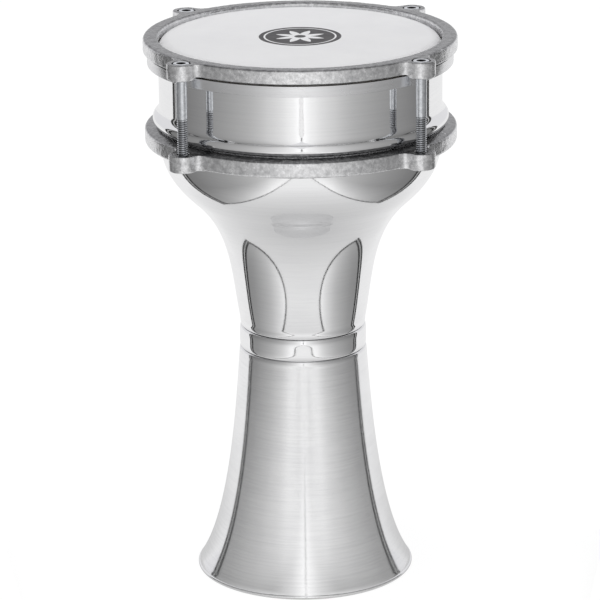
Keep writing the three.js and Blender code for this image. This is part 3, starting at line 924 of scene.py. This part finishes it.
# One grid of rings from the tip, up the thread and shank, over the head and down into the hexagon socket.
def boltMesh(x, y, tip, top):
    b = boltShape
    steps = b["steps"]
    bm = bmesh.new()
    rows = []

    def addRow(radiusAt, z):
        row = []
        for i in range(steps):
            angle = tau * i / steps
            r = radiusAt(angle)
            row.append(bm.verts.new((x + r * math.cos(angle), y + r * math.sin(angle), z)))
        rows.append(row)

    def thread(z):
        # crest and root are cut flat, and the thread fades out at both ends
        def radiusAt(angle):
            phase = ((z - tip) / b["pitch"] - angle / tau) % 1.0
            ridge = abs(phase - 0.5) * 2
            cut = max(0.0, min(1.0, (ridge - b["crest"]) / b["flank"]))
            fade = min(1.0, (tip + b["threadTop"] - z) / (b["fadeTurns"] * b["pitch"]))
            lead = max(0.0, 1 - (z - tip) / (b["leadTurns"] * b["pitch"]))
            return b["shank"] - b["threadDepth"] * max(cut * max(fade, 0.0), lead * b["leadDepth"])
        return radiusAt

    def plain(radius):
        return lambda angle: radius

    def hexagon(flats):
        def radiusAt(angle):
            sixth = (angle + tau / 12) % (tau / 6) - tau / 12
            return flats / 2 / math.cos(sixth)
        return radiusAt

    turns = b["threadTop"] / b["pitch"]
    count = int(turns * b["rowsPerTurn"])
    neck = top - b["headHeight"]
    addRow(plain(b["shank"] - b["threadDepth"] * b["tipDepth"]), tip)
    for i in range(count + 1):
        z = tip + b["threadTop"] * i / count
        addRow(thread(z), z)
    filletHeight, filletWidth = b["neckFillet"]
    for z in (neck - b["plainRun"], neck - filletHeight):
        addRow(plain(b["shank"]), z)
    addRow(plain(b["shank"] + filletWidth), neck)
    head, e = b["head"], b["edge"]
    addRow(plain(head - b["headEdge"]), neck)
    addRow(plain(head), neck + b["headEdge"])
    for r, z in arc((head - e, top - e), e, 0, 90, 6):
        addRow(plain(r), z)
    flats = b["socketFlats"]
    rimBevel, flatBevel = b["socketBevel"]
    addRow(plain((flats + rimBevel) / 2 + flatBevel), top)
    addRow(hexagon(flats + flatBevel), top - b["socketSteps"][0])
    addRow(hexagon(flats), top - b["socketSteps"][1])
    addRow(hexagon(flats), top - b["socketDepth"])
    for a, c in zip(rows, rows[1:]):
        for i in range(steps):
            j = (i + 1) % steps
            bm.faces.new((a[i], a[j], c[j], c[i]))
    tipMiddle = bm.verts.new((x, y, tip))
    floor = bm.verts.new((x, y, top - b["socketDepth"] - b["drillPoint"]))
    for i in range(steps):
        j = (i + 1) % steps
        bm.faces.new((tipMiddle, rows[0][j], rows[0][i]))
        bm.faces.new((floor, rows[-1][i], rows[-1][j]))
    bmesh.ops.recalc_face_normals(bm, faces=bm.faces)
    return bm


for corner in ("back_right", "back_left", "front_left", "front_right"):
    node = "tension_bolt_" + corner
    low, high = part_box(node)
    bm = boltMesh((low.x + high.x) / 2, (low.y + high.y) / 2, low.z, high.z)
    standFor(toObject(bm, "bolt_skin_" + corner, [boltSkin], 30), node, "bolt_" + corner)
print("bolts made")


studio = {
    "floorSize": 24.0, "floorGlow": (0.48, 0.72, 0.90), "floorColour": (0.14, 0.14, 0.14, 1),
    "surround": 0.78, "surroundColour": (0.98, 0.98, 1.0, 1), "topLight": 12.0, "panelHeight": 1.3,
    "topLightSize": 1.6, "topLightSpot": (-0.3, -0.4, 1.7), "topLightAim": (0, 0, 0.3),
    # the floor's fade span sets where the painted shade round the drum on the floor gives way to the full glow
    "floorShadeFade": (0.07, 0.40),
    "panelLevels": {0.0: 0.17, 0.07: 0.21, 0.16: 0.32, 0.25: 0.46, 0.35: 0.64, 0.6: 0.88, 1.0: 1.08},
    "panelSpan": (0.05, -1.0),
    # half of the light corridor in front of the drum, seen from above: two bends, from beside it to the camera
    "nearBend": ((-0.187, 0.016), (-0.172, -0.05), (-0.15, -0.2), (-0.13, -0.4)),
    "farBend": ((-0.13, -0.4), (-0.085, -0.68), (-0.014, -1.0), (-0.015, -1.85)), "bendSteps": 10,
    "edgeStrip": (0.012, 0.006, 0.012), "footStrip": 0.010, "stripOffset": 0.0005, "stripLevels": (0.03, 0.45),
    "slitCard": (0.3, -2.3, 1.6), "slitGlow": 0.05,
    "lowPanel": (0.02, 0.15, 1.9), "lowPanelFade": (-0.15, -0.6),
}


def stageMesh(name, vertices, faces, material, seen=False):
    mesh = bpy.data.meshes.new(name)
    mesh.from_pydata(vertices, [], faces)
    mesh.materials.append(material)
    obj = bpy.data.objects.new(name, mesh)
    bpy.context.scene.collection.objects.link(obj)
    obj.visible_camera = seen
    obj.visible_shadow = seen
    return obj


def glowMaterial(name, strength):
    material = bpy.data.materials.new(name)
    material.use_nodes = True
    tree = material.node_tree
    tree.nodes.clear()
    glow = tree.nodes.new("ShaderNodeEmission")
    glow.inputs["Color"].default_value = (1, 1, 1, 1)
    glow.inputs["Strength"].default_value = strength
    tree.links.new(glow.outputs[0], tree.nodes.new("ShaderNodeOutputMaterial").inputs[0])
    return material, tree, glow


def buildFloor():
    material, tree, shader = newMaterial("pale floor", Roughness=0.9, Specular_IOR_Level=0.1)
    shader.inputs["Base Color"].default_value = studio["floorColour"]
    shader.inputs["Emission Color"].default_value = (1, 1, 1, 1)
    seen = tree.nodes.new("ShaderNodeLightPath").outputs["Is Camera Ray"]
    shadedNearGlow, farGlow, seenGlow = studio["floorGlow"]
    # for all but camera rays the floor glows dimmer near the drum's axis: painted shade round its foot, seen in
    # the metal's reflections; to the camera it glows evenly
    away = ramp(tree, places(tree)[3], *studio["floorShadeFade"], shadedNearGlow, farGlow)
    put(tree, shader.inputs["Emission Strength"], ramp(tree, seen, 0.0, 1.0, away, seenGlow))
    h = studio["floorSize"] / 2
    stageMesh("floor", [(-h, -h, 0), (h, -h, 0), (h, h, 0), (-h, h, 0)], [(0, 1, 2, 3)], material, seen=True)


def buildPanels():
    glow, tree, shader = glowMaterial("light panel", 1.0)
    y, z = places(tree)[1:3]
    curve = tree.nodes.new("ShaderNodeValToRGB")
    put(tree, curve.inputs[0], ramp(tree, y, *studio["panelSpan"]))
    stops = curve.color_ramp.elements
    for position, level in studio["panelLevels"].items():
        stop = stops[0] if position == 0 else stops[-1] if position == 1 else stops.new(position)
        stop.color = (level, level, level, 1)
    put(tree, shader.inputs["Color"], curve.outputs[0])
    # light from the floor brightens each panel's foot, most where the panel is dim
    low, high, lift = studio["lowPanel"]
    near = ramp(tree, y, *studio["lowPanelFade"], 1.0, 0.0)
    put(tree, shader.inputs["Strength"],
        calc(tree, "MULTIPLY_ADD", ramp(tree, z, low, high, lift - 1.0, 0.0), near, 1.0))
    dark = glowMaterial("dark strip", studio["stripLevels"][0])[0]
    pale = glowMaterial("pale strip", studio["stripLevels"][1])[0]
    height = studio["panelHeight"]
    steps = studio["bendSteps"]
    half = joined(bezier(*studio["nearBend"], steps), bezier(*studio["farBend"], steps))
    for side, sideName in ((1, "left"), (-1, "right")):
        line = [(x * side, y) for x, y in half]
        for name, material, rise, inward in (
                ("panel", glow, height, 0.0), ("footStrip", dark, studio["footStrip"], studio["stripOffset"])):
            vertices, faces = [], []
            for x, y in line:
                vertices += [(x + inward * side, y, 0.0), (x + inward * side, y, rise)]
            for i in range(len(line) - 1):
                faces.append((2 * i, 2 * i + 2, 2 * i + 3, 2 * i + 1))
            stageMesh(f"{name}_{sideName}", vertices, faces, material)
        # outer upright edge: two dark lines with a paler one between
        x, y0 = line[0]
        for i, (width, material) in enumerate(zip(studio["edgeStrip"], (dark, pale, dark))):
            y1 = y0 + width
            stageMesh(f"edgeStrip_{side}_{i}", [(x, y0, 0), (x, y1, 0), (x, y1, height), (x, y0, height)],
                      [(0, 1, 2, 3)], material)
            y0 = y1
    half, y, top = studio["slitCard"]
    stageMesh("slitCard", [(-half, y, 0), (half, y, 0), (half, y, top), (-half, y, top)],
              [(0, 1, 2, 3)], glowMaterial("slit card", studio["slitGlow"])[0])


def buildWorld():
    world = bpy.data.worlds.new("white room")
    bpy.context.scene.world = world
    world.use_nodes = True
    tree = world.node_tree
    back = tree.nodes["Background"]
    seen = tree.nodes.new("ShaderNodeLightPath").outputs["Is Camera Ray"]
    back.inputs["Color"].default_value = studio["surroundColour"]
    put(tree, back.inputs["Strength"], ramp(tree, seen, 0.0, 1.0, studio["surround"], 1.0))


def buildLights():
    data = bpy.data.lights.new("overhead", "AREA")
    data.shape = "DISK"
    data.size = studio["topLightSize"]
    data.energy = studio["topLight"]
    lamp = bpy.data.objects.new("overhead", data)
    bpy.context.scene.collection.objects.link(lamp)
    lamp.location = studio["topLightSpot"]
    aim = Vector(studio["topLightAim"]) - lamp.location
    lamp.rotation_euler = aim.to_track_quat("-Z", "Y").to_euler()
    lamp.visible_glossy = False


buildFloor()
buildPanels()
buildWorld()
buildLights()

view = {
    "lens": 207.88, "distance": 2.1018, "aimHeight": 0.169,
    "elevation": 17.475, "turn": -0.4, "roll": -0.573, "yaw": 0.0443,
}


def buildCamera():
    data = bpy.data.cameras.new("camera")
    data.lens = view["lens"]
    data.clip_start, data.clip_end = 0.05, 60
    camera = bpy.data.objects.new("camera", data)
    bpy.context.scene.collection.objects.link(camera)
    bpy.context.scene.camera = camera
    around = math.radians(view["turn"] - 90)
    rise = math.radians(view["elevation"])
    back = Vector((math.cos(rise) * math.cos(around), math.cos(rise) * math.sin(around), math.sin(rise)))
    level = Vector((0, 0, 1)).cross(back).normalized()
    upright = back.cross(level)
    tilt = math.radians(view["roll"])
    right = level * math.cos(tilt) + upright * math.sin(tilt)
    up = upright * math.cos(tilt) - level * math.sin(tilt)
    swing = Matrix.Rotation(math.radians(view["yaw"]), 3, up)
    right, backward = swing @ right, swing @ back
    spin = Matrix((right, up, backward)).transposed().to_4x4()
    eye = Vector((0, 0, view["aimHeight"])) + back * view["distance"]
    camera.matrix_world = Matrix.Translation(eye) @ spin


buildCamera()
bpy.context.scene.view_settings.view_transform = "Standard"
print("studio made")

bpy.context.view_layer.update()
